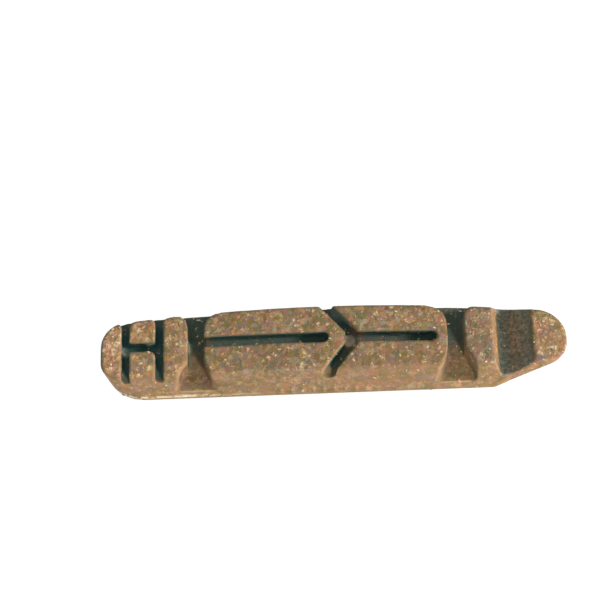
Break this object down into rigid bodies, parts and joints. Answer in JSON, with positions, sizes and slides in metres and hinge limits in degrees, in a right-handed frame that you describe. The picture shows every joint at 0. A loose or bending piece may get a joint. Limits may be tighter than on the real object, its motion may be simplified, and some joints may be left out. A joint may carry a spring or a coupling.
{
  "type": "rim brake pad insert",
  "caption": "Slide-in rim brake pad insert: a grooved, bowed friction block with a slanted nose on a dovetail rail.",
  "frame": {"origin": "centre of the pad's length and width, on the plane of the rail's flat back", "axes": "+X towards the nose with the slanted back, +Y towards the bowed side, +Z out of the friction face, which meets the rim"},
  "size_m": [0.052, 0.0097, 0.0083],
  "materials": {
    "compound": "matt moulded compound, brown and mottled like cork"
  },
  "bodies": {
    "root": {"pad": "compound"}
  },
  "joints": []
}
